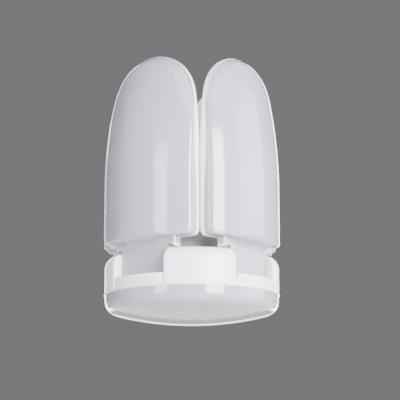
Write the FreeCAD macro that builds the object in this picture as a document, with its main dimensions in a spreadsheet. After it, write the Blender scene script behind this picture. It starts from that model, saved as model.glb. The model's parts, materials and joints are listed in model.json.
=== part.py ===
import FreeCAD, Part
import math
import os
import Sketcher

# A folding ceiling lamp: a round hub with a domed lens underneath, a screw cap
# on a neck above it, and four light blades that hinge in slots of the hub.
# Blade 1 faces -Y, blade 2 +X, blade 3 +Y and blade 4 -X, all folded up.
#
# Every piece is drawn with z = 0 at the lower edge of the hub's rim, and a blade's
# pieces as blade 1: x is along the hinge, and "out" is the distance from the lamp's
# axis, towards -Y. The placement then turns the piece to its blade and lowers it,
# so that the middle of the cap's smooth skirt is at the origin.

DIMENSIONS = {
    # hub
    "hub_radius": 48.0,          # outside of the hinge covers
    "rim_step": 0.4,             # rim between the covers, set back from them
    "rim_height": 6.25,
    "cover_rise": 0.65,          # gap between the deck and a cover's top
    "cover_wall": 2.6,
    "cover_shoulder": 6.2,       # round shoulder of the covers, about the hinge
    "cover_corner": 1.7,         # rounding of a cover's ends
    "cover_reach": 13.8,         # width of a cover's top, inwards
    "slot_half": 16.2,           # half the width of a hinge slot
    "slot_depth": 18.1,          # from the hub's outside to a slot's back wall
    "tower_wall": 2.6,           # wall that holds the hinge pins
    "tower_shell": 1.45,         # outer wall of a tower, behind the cover
    "well_wall": 1.8,            # back wall of a slot
    "ring_width": 5.0,           # lower ring, from the hub's outside
    "floor_low": 3.6,
    "floor_wall": 2.0,
    "deck_wall": 2.0,
    "deck_in": 13.7,             # from the hub's outside to the deck's lip, which stops an open blade
    "deck_boss_radius": 2.9,
    "deck_boss_hole": 7.0,
    # hinge
    "hinge_in": 11.4,            # from the hub's outside to a hinge's axis
    "hinge_up": 13.0,
    "screw_radius": 1.25,
    "screw_head_radius": 2.0,
    "screw_head": 1.6,
    "screw_bite": 9.0,           # length of the pivot screw inside the blade
    "drive_deep": 0.6,           # slot in the screw's head
    "drive_half": 1.6,
    "drive_wide": 0.3,
    "bush_radius": 1.5,
    "bush_bore": 0.85,
    "bush_flange_radius": 2.0,
    "bush_flange": 0.9,
    "bush_bite": 4.4,
    "washer_radius": 3.0,
    "running_gap": 0.05,         # radial, in a hinge
    # blade
    "front_proud": 0.7,          # the blade's front stands out past the hub
    "blade_depth": 17.65,
    "blade_gap": 0.35,           # leaves room between two folded blades
    "blade_corner": 3.6,         # rounding of the corners at the hinge end
    "side_top": 72.0,            # height where the straight sides end
    "side_curve": 230.0,
    "tip_start": 104.0,          # height where the round tip starts
    "front_straight": 57.0,      # height where the front starts to curve in
    "front_curve": 273.0,
    "nose_up": 106.4,
    "nose_in": 4.2,
    "nose_curve": 54.0,
    "tip_in": 12.5,
    "front_round": 1.6,
    "tray_lip": 2.2,             # height of the housing's white edge
    "tray_wall": 1.4,
    "tray_edge": 1.9,
    "lip_wall": 1.2,
    "lip_rise": 1.4,
    "diffuser_wall": 1.6,
    # blade's neck
    "neck_in": 8.2,              # from the hub's outside to the neck's front
    "neck_skin": 1.2,
    "neck_depth": 5.2,
    "neck_side_gap": 0.6,        # filled by a washer on each side
    "neck_lift": 1.15,           # gap between the neck's lower end and the rim
    "collar_half": 20.5,
    "collar_gap": 1.7,           # gap between the collar and the covers
    "collar_high": 4.3,
    "gusset_at": 14.0,
    "gusset_half": 1.0,
    "neck_root": 8.0,            # how far the neck reaches up inside the blade
    "lead_channel": 2.2,
    "lead_channel_up": 4.0,      # top of the channel, above the blade's lower end
    # light boards
    "board_wall": 1.2,
    "board_margin": 3.4,
    "led_wide": 2.8,
    "led_tall": 3.5,
    "led_high": 0.8,
    "led_side_margin": 12.0,
    "led_first": 3.0,            # first row, above the neck's root
    "led_last": 5.0,             # last row, above the tip's centre
    "board_screw_radius": 1.0,
    "board_screw_head": 2.0,
    "board_head_high": 1.1,
    "board_screw_low": 14.0,     # first screw, above the blade's lower end
    "board_screw_step": 37.0,
    "screw_sink": 0.8,
    "screw_reach": 5.0,
    "center_screw_at": 18.0,
    "lead_hole_at": 8.0,
    "lead_hole_radius": 2.0,
    "hub_board_gap": 4.0,        # between the round board and the ring
    "hub_leds_in": 10.0,
    # lens
    "lens_wall": 1.8,
    "lens_drop": 4.1,
    "lens_taper": 0.3,
    "lens_edge_radius": 6.0,
    "lens_edge_in": 4.5,
    "lens_edge_down": 5.8,
    "lens_depth": 15.2,
    "lens_spigot": 2.4,
    "lens_chamfer": 0.6,
    # neck and cap
    "neck_foot_radius": 15.8,
    "neck_top_radius": 14.5,
    "neck_height": 50.0,
    "neck_wall": 1.8,
    "neck_chamfer": 1.0,
    "bore_foot": 2.0,            # straight part of the neck's bore, above the deck
    "bore_top": 3.0,             # straight part of the bore, below the cap
    "foot_round": 2.5,
    "spigot_radius": 12.3,
    "skirt_radius": 13.3,
    "skirt_height": 6.0,
    "shell_wall": 0.3,
    "shell_roll_in": 1.5,        # the shell's top edge is rolled in over the glass
    "shell_roll_up": 1.0,
    "thread_root": 12.13,
    "thread_crest": 13.15,
    "thread_pitch": 3.629,
    "thread_turns": 4.0,
    "glass_low": 2.0,
    "glass_top_radius": 5.6,
    "glass_height": 4.2,
    "contact_radius": 4.8,
    "contact_height": 1.6,
    "contact_edge": 0.6,
    "contact_crown_in": 2.0,
    "contact_crown": 3.0,
    # driver
    "driver_wide": 21.0,
    "driver_low": 11.0,
    "driver_top": 46.0,
    "driver_shoulder": 12.0,     # the board is narrower above this distance from its top
    "driver_side_gap": 1.5,
    "driver_wall": 1.6,
    "driver_foot": 2.6,
    "driver_part_up": 2.0,       # lowest component, above the board's lower edge
    "capacitor_radius": 5.0,
    "capacitor_length": 16.0,
    "capacitor_up": 7.0,
    "capacitor_rim": 0.4,
    "transformer_side": 12.0,
    "coil_high": 2.0,
    # leads
    "lead_radius": 0.7,
    "lead_split": 3.6,           # from the channel's middle to the joint inside the bush
    "lead_rise": 6.0,            # bends of a blade's lead, above the blade's lower end
    "lead_face_up": 11.0,
    "lead_end_up": 15.0,
    "lead_clears_tower": 3.9,    # from a tower's wall to a lead that leaves the bush
    "lead_bend": 2.2,
    "pad_in": 1.5,
    "pad_up": 1.0,
    "pad_reach": 14.0,
    "shell_lead_at": 6.0,
    "shell_joint_up": 5.0,
    "top_pad_down": 8.0,
    "center_lead_at": 3.0,
    "lead_over_floor": 1.8,
    "clearance": 0.1,
    "overlap": 0.5,              # how far joined solids reach into each other
}
BLADES = 4
LED_COLUMNS = 4
LED_ROWS = 10
HUB_LEDS = 12
BOARD_SCREWS = 3
THREAD_VALLEY = 0.25             # shares of the thread's pitch
THREAD_CREST = 0.75
THREAD_ROUND = 0.32
CAPACITOR_RIM = 0.8              # share of the can's radius
CORE_DEEP = 0.8                  # shares of the transformer's side
COIL_DEEP = 0.7
COIL_HALF = 0.25
BOSS_SHARE = 0.63                # a boss's place on the diagonal of a tower
DIAGONAL = math.sqrt(0.5)
BEND_SHARE = 0.45                # share of a straight run that a bend may use
ON_FACE = 0.01                   # an edge this near a plane lies on it
SHORT_EDGE = 3.0                 # shorter edges aren't rounded
FAR = 90.0                       # past the lamp's outside, for cuts that go through

doc = FreeCAD.newDocument("folding_lamp")
sheet = doc.addObject("Spreadsheet::Sheet", "dims")
derived = doc.addObject("App::VarSet", "derived")


class Size:
    """A length as a number together with the formula that gives it."""

    def __init__(self, value, text):
        self.value = float(value)
        self.text = text

    def __add__(self, other):
        other = size(other)
        return Size(self.value + other.value, f"({self.text} + {other.text})")

    def __sub__(self, other):
        other = size(other)
        return Size(self.value - other.value, f"({self.text} - {other.text})")

    def __mul__(self, other):
        other = size(other)
        return Size(self.value * other.value, f"({self.text} * {other.text})")

    def __truediv__(self, other):
        other = size(other)
        return Size(self.value / other.value, f"({self.text} / {other.text})")

    def __neg__(self):
        return Size(-self.value, f"(-1 * {self.text})")


def size(number):
    return number if isinstance(number, Size) else Size(number, repr(float(number)))


def root(length):
    return Size(math.sqrt(length.value), f"sqrt({length.text})")


def chord(radius, away):
    """Half the chord of a circle at a distance from its centre."""
    radius = size(radius)
    away = size(away)
    return root(radius * radius - away * away)


def derive(name, formula):
    """Keep a worked-out size in the document under a name of its own."""
    derived.addProperty("App::PropertyFloat", name)
    derived.setExpression(name, formula.text)
    return Size(formula.value, "derived." + name)


for row, (name, number) in enumerate(DIMENSIONS.items(), start=1):
    sheet.set(f"A{row}", str(number))
    sheet.setAlias(f"A{row}", name)
doc.recompute()
dim = {name: Size(number, "dims." + name) for name, number in DIMENSIONS.items()}

origin_up = derive("origin_up", dim["neck_height"] + dim["skirt_height"] / 2)
slot_back = derive("slot_back", dim["hub_radius"] - dim["slot_depth"])
ring_inner = derive("ring_inner", dim["hub_radius"] - dim["ring_width"])
tower_in = derive("tower_in", dim["slot_half"] + dim["tower_wall"])
rim_radius = derive("rim_radius", dim["hub_radius"] - dim["rim_step"])
tower_radius = derive("tower_radius", dim["hub_radius"] - dim["cover_wall"] - dim["running_gap"])
tower_hollow = derive("tower_hollow", tower_radius - dim["tower_shell"])
deck_screw_at = derive(
    "deck_screw_at", tower_in + (tower_hollow * DIAGONAL - tower_in) * BOSS_SHARE
)
well_in = derive("well_in", slot_back - dim["well_wall"])
floor_top = derive("floor_top", dim["floor_low"] + dim["floor_wall"])
hinge_out = derive("hinge_out", dim["hub_radius"] - dim["hinge_in"])
neck_front = derive("neck_front", dim["hub_radius"] - dim["neck_in"])
neck_split = derive("neck_split", neck_front - dim["neck_skin"])
neck_back = derive("neck_back", neck_front - dim["neck_depth"])
neck_half = derive("neck_half", dim["slot_half"] - dim["neck_side_gap"])
# An open blade's neck lies level, with its back against the deck.
deck_low = derive("deck_low", dim["hinge_up"] + hinge_out - neck_back + dim["running_gap"])
deck_top = derive("deck_top", deck_low + dim["deck_wall"])
tower_top = derive("tower_top", deck_top + dim["cover_rise"] - dim["running_gap"])
cover_height = derive("cover_height", deck_top + dim["cover_rise"] + dim["cover_wall"])
neck_low = derive("neck_low", dim["rim_height"] + dim["neck_lift"])
collar_low = derive("collar_low", cover_height + dim["collar_gap"])
blade_low = derive("blade_low", collar_low + dim["collar_high"])
# The blade's front is round about the lamp's axis.
front_radius = derive("front_radius", dim["hub_radius"] + dim["front_proud"])
blade_back = derive("blade_back", front_radius - dim["blade_depth"])
blade_half = derive("blade_half", blade_back - dim["blade_gap"])
nose_out = derive("nose_out", front_radius - dim["nose_in"])
tip_out = derive("tip_out", front_radius - dim["tip_in"])
edge_out = derive("edge_out", blade_back + dim["tray_lip"])
board_back = derive("board_back", blade_back + dim["tray_wall"])
board_front = derive("board_front", board_back + dim["board_wall"])
hub_board_radius = derive("hub_board_radius", ring_inner - dim["hub_board_gap"])
hub_board_low = derive("hub_board_low", dim["floor_low"] - dim["board_wall"])
cap_top = derive("cap_top", dim["neck_height"] + dim["skirt_height"]
                 + dim["thread_pitch"] * dim["thread_turns"])
root_top = derive("root_top", blade_low + dim["neck_root"])

# The tip is an arc centred on the blade's middle line, tangent to the curved sides.
tip_rise = dim["tip_start"] - dim["side_top"]
tip_sine = derive("tip_sine", tip_rise / dim["side_curve"])
tip_cosine = derive("tip_cosine", root(size(1) - tip_sine * tip_sine))
side_centre = derive("side_centre", blade_half - dim["side_curve"])
tip_radius = derive("tip_radius", (side_centre + dim["side_curve"] * tip_cosine) / tip_cosine)
tip_centre = derive("tip_centre", dim["tip_start"] - tip_radius * tip_sine)
blade_top = derive("blade_top", tip_centre + tip_radius)

parts = []


def place(piece, label, blade=0):
    """Name a finished piece, turn it to its blade and set it in the lamp's frame."""
    piece.Label = label
    piece.Placement = FreeCAD.Placement(
        FreeCAD.Vector(0, 0, -origin_up.value),
        FreeCAD.Rotation(FreeCAD.Vector(0, 0, 1), 90 * blade),
    )
    piece.setExpression("Placement.Base.z", (-origin_up).text)
    parts.append(piece)
    return piece


# ---- Part primitives bound to the sheet ----

def spot(piece, x, y, z):
    piece.setExpression("Placement.Base.x", size(x).text)
    piece.setExpression("Placement.Base.y", size(y).text)
    piece.setExpression("Placement.Base.z", size(z).text)


def box(x, y, z):
    """A box between pairs of x, y and z."""
    piece = doc.addObject("Part::Box", "box")
    for side, (low, high) in zip(("Length", "Width", "Height"), (x, y, z)):
        piece.setExpression(side, (size(high) - size(low)).text)
    spot(piece, x[0], y[0], z[0])
    return piece


def blade_box(half, out, up):
    """A box centred across blade 1, between two distances out and two heights."""
    half = size(half)
    return box((-half, half), (-size(out[1]), -size(out[0])), up)


def blade_box_at(u, half, out, up):
    """A box about a place across blade 1."""
    return box((u - half, u + half), (-size(out[1]), -size(out[0])), up)


AXES = {"x": (0, 1, 0, 90), "y": (1, 0, 0, 90), "z": (0, 0, 1, 0)}


def rod(radius, length, start, axis="z"):
    """A cylinder from start along +x, -y or +z."""
    piece = doc.addObject("Part::Cylinder", "rod")
    ax, ay, az, angle = AXES[axis]
    piece.Placement.Rotation = FreeCAD.Rotation(FreeCAD.Vector(ax, ay, az), angle)
    piece.setExpression("Radius", size(radius).text)
    piece.setExpression("Height", size(length).text)
    spot(piece, *start)
    return piece


def join(*pieces):
    piece = doc.addObject("Part::MultiFuse", "join")
    piece.Shapes = list(pieces)
    return piece


def cut(base, *tools):
    piece = doc.addObject("Part::Cut", "cut")
    piece.Base = base
    piece.Tool = tools[0] if len(tools) == 1 else join(*tools)
    return piece


def group(pieces):
    piece = doc.addObject("Part::Compound", "group")
    piece.Links = list(pieces)
    return piece


# ---- PartDesign bodies with bound sketches ----

def new_body(name):
    return doc.addObject("PartDesign::Body", name + "_body")


def new_sketch(body, plane, lift=0.0):
    """A sketch on one of the body's origin planes, lifted along its normal."""
    sketch = body.newObject("Sketcher::SketchObject", "sketch")
    support = next(item for item in body.Origin.OriginFeatures if item.Role == plane)
    sketch.AttachmentSupport = (support, [""])
    sketch.MapMode = "FlatFace"
    sketch.setExpression("AttachmentOffset.Base.z", size(lift).text)
    return sketch


def bind(sketch, kind, *geometry, length):
    """Add a dimension and tie it to its formula."""
    length = size(length)
    index = sketch.addConstraint(Sketcher.Constraint(kind, *geometry, length.value))
    sketch.setExpression(f"Constraints[{index}]", length.text)


def arc_through(start, end, radius, turn):
    """The short arc of a radius between two points; turn is +1 anticlockwise."""
    halfway = (start + end) / 2
    half = (end - start).Length / 2
    across = FreeCAD.Vector(start.y - end.y, end.x - start.x, 0).normalize()
    away = math.sqrt(max(radius ** 2 - half ** 2, 0.0))
    centre = halfway + across * (turn * away)
    crown = centre - across * (turn * radius)
    return Part.Arc(start, crown, end)


def outline(sketch, corners):
    """Draw a closed outline. A corner is (x, y), or (x, y, radius, turn) at the end of an arc."""
    points = [FreeCAD.Vector(size(c[0]).value, size(c[1]).value, 0) for c in corners]
    lines = []
    for index, corner in enumerate(corners):
        start = points[index - 1]
        end = points[index]
        if len(corner) == 2:
            edge = Part.LineSegment(start, end)
        else:
            edge = arc_through(start, end, size(corner[2]).value, corner[3])
        lines.append(sketch.addGeometry(edge))
    for index, corner in enumerate(corners):
        # FreeCAD stores every arc anticlockwise, so a clockwise one ends at its start.
        last = 1 if len(corner) == 4 and corner[3] < 0 else 2
        after = corners[(index + 1) % len(corners)]
        first = 2 if len(after) == 4 and after[3] < 0 else 1
        line = lines[index]
        sketch.addConstraint(
            Sketcher.Constraint("Coincident", line, last, lines[(index + 1) % len(lines)], first)
        )
        bind(sketch, "DistanceX", -1, 1, line, last, length=corner[0])
        bind(sketch, "DistanceY", -1, 1, line, last, length=corner[1])
        if len(corner) == 4:
            bind(sketch, "Radius", line, length=corner[2])


def circle(sketch, x, y, radius):
    centre = FreeCAD.Vector(size(x).value, size(y).value, 0)
    line = sketch.addGeometry(Part.Circle(centre, FreeCAD.Vector(0, 0, 1), size(radius).value))
    bind(sketch, "DistanceX", -1, 1, line, 3, length=x)
    bind(sketch, "DistanceY", -1, 1, line, 3, length=y)
    bind(sketch, "Radius", line, length=radius)


def pad(body, sketch, length):
    feature = body.newObject("PartDesign::Pad", "pad")
    feature.Profile = sketch
    feature.setExpression("Length", size(length).text)
    return feature


def pocket(body, sketch, length, reverse=False):
    feature = body.newObject("PartDesign::Pocket", "pocket")
    feature.Profile = sketch
    feature.Reversed = reverse
    feature.setExpression("Length", size(length).text)
    return feature


def revolve(body, sketch, kind="PartDesign::Revolution"):
    feature = body.newObject(kind, "turned")
    feature.Profile = sketch
    feature.ReferenceAxis = (sketch, ["V_Axis"])
    feature.Angle = 360
    return feature


def polar(body, feature, copies):
    pattern = body.newObject("PartDesign::PolarPattern", "pattern")
    pattern.Originals = [feature]
    axis = next(item for item in body.Origin.OriginFeatures if item.Role == "Z_Axis")
    pattern.Axis = (axis, [""])
    pattern.Angle = 360
    pattern.Occurrences = copies
    body.Tip = pattern
    return pattern


def fillet(body, base, radius, chosen):
    """Round the edges of the last feature for which chosen(edge) is true."""
    doc.recompute()
    names = [f"Edge{n}" for n, edge in enumerate(base.Shape.Edges, start=1) if chosen(edge)]
    feature = body.newObject("PartDesign::Fillet", "fillet")
    feature.Base = (base, names)
    feature.setExpression("Radius", size(radius).text)
    body.Tip = feature
    return feature


def middle(edge):
    return edge.valueAt((edge.FirstParameter + edge.LastParameter) / 2)


def four_fold(quarter):
    """Repeat the corners of a quarter outline round the axis, a quarter turn at a time."""
    corners = list(quarter)
    for turn in range(1, 4):
        for corner in quarter:
            x, y = size(corner[0]), size(corner[1])
            for step in range(turn):
                x, y = -y, x
            corners.append((x, y, *corner[2:]))
    return corners


# ---- hub ----

def hub_frame():
    """The hub's moulding: ring, floor, well for the driver and four hinge towers."""
    body = new_body("hub_frame")
    shoulder = dim["cover_shoulder"] - dim["cover_wall"] - dim["running_gap"]
    sketch = new_sketch(body, "XZ_Plane")
    outline(sketch, [
        (0, dim["floor_low"]),
        (ring_inner, dim["floor_low"]),
        (ring_inner, 0),
        (tower_radius, 0),
        (tower_radius, tower_top - shoulder),
        (tower_radius - shoulder, tower_top, shoulder, 1),
        (0, tower_top),
    ])
    revolve(body, sketch)
    # rim between the covers
    sketch = new_sketch(body, "XY_Plane")
    slot = dim["slot_half"]
    overlap = dim["overlap"]
    root_radius = tower_radius - overlap
    outline(sketch, [
        (-slot, -chord(root_radius, slot), root_radius, -1),
        (-slot, -chord(rim_radius, slot)),
        (slot, -chord(rim_radius, slot), rim_radius, 1),
        (slot, -chord(root_radius, slot)),
    ])
    band = pad(body, sketch, dim["rim_height"])
    polar(body, band, BLADES)
    # well and the hollow towers, open at the top
    sketch = new_sketch(body, "XY_Plane", tower_top)
    hollow = tower_hollow
    outline(sketch, four_fold([
        (well_in, tower_in),
        (chord(hollow, tower_in), tower_in),
        (tower_in, chord(hollow, tower_in), hollow, 1),
        (tower_in, well_in),
    ]))
    pocket(body, sketch, tower_top - floor_top)
    # seat for the deck
    sketch = new_sketch(body, "XY_Plane", tower_top)
    back = slot_back
    outline(sketch, [(back, -back), (back, back), (-back, back), (-back, -back)])
    pocket(body, sketch, tower_top - deck_low)
    # hinge slots
    sketch = new_sketch(body, "XY_Plane", tower_top)
    outline(sketch, [(-slot, -FAR), (slot, -FAR), (slot, -back), (-slot, -back)])
    polar(body, pocket(body, sketch, tower_top - dim["rim_height"]), BLADES)
    # pivot holes: the bush is tight on one side, the screw turns on the other
    for side, radius in ((-1, dim["bush_radius"]), (1, dim["screw_radius"] + dim["running_gap"])):
        sketch = new_sketch(body, "YZ_Plane", slot * side)
        circle(sketch, -hinge_out, dim["hinge_up"], radius)
        hole = pocket(body, sketch, dim["tower_wall"], reverse=side > 0)
        polar(body, hole, BLADES)
    # bosses for the deck's screws
    at = deck_screw_at
    sketch = new_sketch(body, "XY_Plane", floor_top - overlap)
    circle(sketch, at, -at, dim["deck_boss_radius"])
    polar(body, pad(body, sketch, deck_low - floor_top + overlap), BLADES)
    sketch = new_sketch(body, "XY_Plane", deck_low)
    circle(sketch, at, -at, dim["board_screw_radius"])
    polar(body, pocket(body, sketch, dim["deck_boss_hole"]), BLADES)
    # holes through the floor for the lens board's leads
    sketch = new_sketch(body, "XY_Plane", floor_top)
    circle(sketch, 0, -dim["lead_hole_at"], dim["lead_hole_radius"])
    pocket(body, sketch, dim["floor_wall"])
    place(body, "hub_frame")


def hinge_cover(number):
    """A cap over the tower between two blades, rounded about their hinges."""
    body = new_body("hinge_cover")
    shoulder = dim["cover_shoulder"]
    inner = shoulder - dim["cover_wall"]
    inside = dim["hub_radius"] - dim["cover_wall"]
    under = cover_height - dim["cover_wall"]
    reach = dim["hub_radius"] - dim["cover_reach"]
    sketch = new_sketch(body, "XZ_Plane")
    outline(sketch, [
        (inside, 0),
        (dim["hub_radius"], 0),
        (dim["hub_radius"], cover_height - shoulder),
        (dim["hub_radius"] - shoulder, cover_height, shoulder, 1),
        (reach, cover_height),
        (reach, under),
        (inside - inner, under),
        (inside, under - inner, inner, -1),
    ])
    revolve(body, sketch)
    slot = dim["slot_half"]
    sketch = new_sketch(body, "XY_Plane", cover_height)
    outline(sketch, [
        (slot, -FAR), (slot, -slot), (FAR, -slot), (FAR, FAR), (-FAR, FAR), (-FAR, -FAR),
    ])
    trimmed = pocket(body, sketch, cover_height)

    def end_edge(edge):
        point = middle(edge)
        margin = dim["overlap"].value
        outer = math.hypot(point.x, point.y) > inside.value + margin
        outer = outer or point.z > under.value + margin
        on_side = abs(point.x - slot.value) < ON_FACE or abs(point.y + slot.value) < ON_FACE
        return outer and on_side and point.z > margin and edge.Length > SHORT_EDGE

    fillet(body, trimmed, dim["cover_corner"], end_edge)
    place(body, f"hinge_cover_{number}", blade=number - 1)


def neck_housing():
    """The deck that closes the hub, with the tapered neck that carries the cap."""
    gap = dim["clearance"]
    body = new_body("neck_housing")
    reach = dim["hub_radius"] - dim["deck_in"]
    lip = dim["slot_half"] - gap
    back = slot_back - gap
    inner = tower_in + gap
    hollow = tower_hollow - gap
    sketch = new_sketch(body, "XY_Plane", deck_low)
    outline(sketch, four_fold([
        (reach, lip),
        (back, lip),
        (back, inner),
        (chord(hollow, inner), inner),
        (inner, chord(hollow, inner), hollow, 1),
        (inner, back),
        (lip, back),
        (lip, reach),
    ]))
    pad(body, sketch, dim["deck_wall"])
    foot = dim["neck_foot_radius"]
    top = dim["neck_top_radius"]
    bore = dim["neck_wall"]
    chamfer = dim["neck_chamfer"]
    spigot_top = dim["neck_height"] + dim["skirt_height"] - dim["shell_wall"]
    foot_round = dim["foot_round"]
    sketch = new_sketch(body, "XZ_Plane")
    outline(sketch, [
        (0, deck_low),
        (foot + foot_round, deck_low),
        (foot + foot_round, deck_top),
        (foot, deck_top + foot_round, foot_round, -1),
        (top, dim["neck_height"] - chamfer),
        (top - chamfer, dim["neck_height"]),
        (dim["spigot_radius"], dim["neck_height"]),
        (dim["spigot_radius"], spigot_top),
        (0, spigot_top),
    ])
    revolve(body, sketch)
    sketch = new_sketch(body, "XZ_Plane")
    outline(sketch, [
        (0, 0),
        (foot - bore, 0),
        (foot - bore, deck_top + dim["bore_foot"]),
        (dim["spigot_radius"] - bore, dim["neck_height"] - dim["bore_top"]),
        (dim["spigot_radius"] - bore, FAR),
        (0, FAR),
    ])
    revolve(body, sketch, "PartDesign::Groove")
    at = deck_screw_at
    sketch = new_sketch(body, "XY_Plane", deck_top)
    circle(sketch, at, -at, dim["board_screw_radius"] + gap * 2)
    polar(body, pocket(body, sketch, dim["deck_wall"]), BLADES)
    sketch = new_sketch(body, "XY_Plane", deck_top)
    circle(sketch, at, -at, dim["board_screw_head"] + gap)
    polar(body, pocket(body, sketch, dim["screw_sink"]), BLADES)
    place(body, "neck_housing")


def center_lens():
    """The domed lens that snaps into the ring from below."""
    body = new_body("center_lens")
    wall = dim["lens_wall"]
    outer = dim["hub_radius"]
    side = outer - dim["lens_taper"]
    edge = side - dim["lens_edge_in"]
    edge_up = -(dim["lens_drop"] + dim["lens_edge_down"])
    sag = dim["lens_depth"] - dim["lens_drop"] - dim["lens_edge_down"]
    dome = derive("dome_radius", (edge * edge + sag * sag) / (sag * 2))
    spigot = ring_inner - dim["running_gap"]
    chamfer = dim["lens_chamfer"]
    inner_edge = edge - wall / 4
    inner_edge_up = dome - dim["lens_depth"] - chord(dome - wall, inner_edge)
    sketch = new_sketch(body, "XZ_Plane")
    outline(sketch, [
        (spigot, dim["lens_spigot"]),
        (spigot - wall, dim["lens_spigot"]),
        (spigot - wall, -wall),
        (side - wall, -wall),
        (side - wall, -dim["lens_drop"]),
        (inner_edge, inner_edge_up, dim["lens_edge_radius"] - wall, -1),
        (0, -(dim["lens_depth"] - wall), dome - wall, -1),
        (0, -dim["lens_depth"]),
        (edge, edge_up, dome, 1),
        (side, -dim["lens_drop"], dim["lens_edge_radius"], 1),
        (outer, -chamfer),
        (outer - chamfer, 0),
        (spigot, 0),
    ])
    revolve(body, sketch)
    place(body, "center_lens")


def center_board():
    """The round light board under the hub's floor."""
    low = hub_board_low
    disc = rod(hub_board_radius, dim["board_wall"], (0, 0, low))
    at = dim["center_screw_at"]
    screws = [rod(dim["board_screw_radius"], dim["board_wall"], (x, 0, low)) for x in (-at, at)]
    place(cut(disc, *screws), "center_board")


def center_leds():
    """A ring of small square emitters that face down."""
    body = new_body("center_leds")
    half = dim["led_wide"] / 2
    sketch = new_sketch(body, "XY_Plane", hub_board_low - dim["led_high"])
    at = hub_board_radius - dim["hub_leds_in"]
    deep = dim["led_tall"] / 2
    outline(sketch, [(half, at - deep), (half, at + deep), (-half, at + deep), (-half, at - deep)])
    polar(body, pad(body, sketch, dim["led_high"]), HUB_LEDS)
    place(body, "center_leds")


def hub_screws():
    """Screws that hold the deck and the light board."""
    radius = dim["board_screw_radius"]
    head = dim["board_screw_head"]
    high = dim["board_head_high"]
    reach = dim["screw_reach"]
    screws = []
    at = deck_screw_at
    for x, y in ((at, at), (-at, at), (-at, -at), (at, -at)):
        shank = rod(radius, dim["deck_wall"] + reach, (x, y, deck_low - reach))
        screws.append(join(shank, rod(head, high, (x, y, deck_top - dim["screw_sink"]))))
    place(group(screws), "deck_screws")
    screws = []
    at = dim["center_screw_at"]
    for x in (-at, at):
        shank = rod(radius, dim["board_wall"], (x, 0, hub_board_low))
        screws.append(join(shank, rod(head, high, (x, 0, hub_board_low - high))))
    place(group(screws), "center_board_screws")


def driver():
    """The power supply, on a board that stands in the neck."""
    half = dim["driver_wide"] / 2
    wall = dim["driver_wall"]
    low = dim["driver_low"]
    top = dim["driver_top"]
    narrow = dim["spigot_radius"] - dim["neck_wall"] - dim["driver_side_gap"]
    plate = box((-half, half), (0, wall), (low, top - dim["driver_shoulder"]))
    upper = box((-narrow, narrow), (0, wall), (low, top))
    foot = dim["driver_foot"]
    foot_top = low + dim["overlap"]
    feet = [box((x, x + foot), (0, wall), (floor_top, foot_top)) for x in (-half, half - foot)]
    place(join(plate, upper, *feet), "driver_board")
    radius = dim["capacitor_radius"]
    length = dim["capacitor_length"]
    start = (0, wall + radius, low + dim["capacitor_up"])
    can = rod(radius, length, start)
    rim = rod(radius * CAPACITOR_RIM, length + dim["capacitor_rim"], start)
    place(join(can, rim), "capacitor")
    side = dim["transformer_side"]
    half_side = side / 2
    core_low = low + dim["driver_part_up"]
    core_top = core_low + side
    core = box((-half_side, half_side), (-side * CORE_DEEP, 0), (core_low, core_top))
    coil_half = side * COIL_HALF
    coil_top = core_top + dim["coil_high"]
    coil = box((-coil_half, coil_half), (-side * COIL_DEEP, 0), (core_top, coil_top))
    place(join(core, coil), "transformer")


def lead(label, path, blade=0):
    """A round insulated lead along straight runs with round corners.

    A point is (x, y, z), or (x, y, z, radius) where there is less room for the bend.
    """
    radius = DIMENSIONS["lead_radius"]
    points = [FreeCAD.Vector(*point[:3]) for point in path]
    limits = [point[3] if len(point) > 3 else FAR for point in path]
    edges = []
    last = points[0]
    for before, here, after, limit in zip(points, points[1:], points[2:], limits[1:]):
        into = (here - before).normalize()
        out = (after - here).normalize()
        bend = into.getAngle(out)
        reach = BEND_SHARE * min((here - before).Length, (after - here).Length)
        reach = min(reach, limit * math.tan(bend / 2))
        bend_start = here - into * reach
        bend_end = here + out * reach
        bisector = (out - into).normalize()
        bend_radius = reach / math.tan(bend / 2)
        crown = here + bisector * (bend_radius / math.cos(bend / 2) - bend_radius)
        edges.append(Part.LineSegment(last, bend_start).toShape())
        edges.append(Part.Arc(bend_start, crown, bend_end).toShape())
        last = bend_end
    edges.append(Part.LineSegment(last, points[-1]).toShape())
    path_wire = Part.Wire(edges)
    start_way = (points[1] - points[0]).normalize()
    section = Part.Wire(Part.Circle(points[0], start_way, radius).toShape())
    tube = path_wire.makePipeShell([section], True, False)
    piece = doc.addObject("Part::Feature", "lead")
    piece.Shape = tube
    return place(piece, label, blade)


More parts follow.
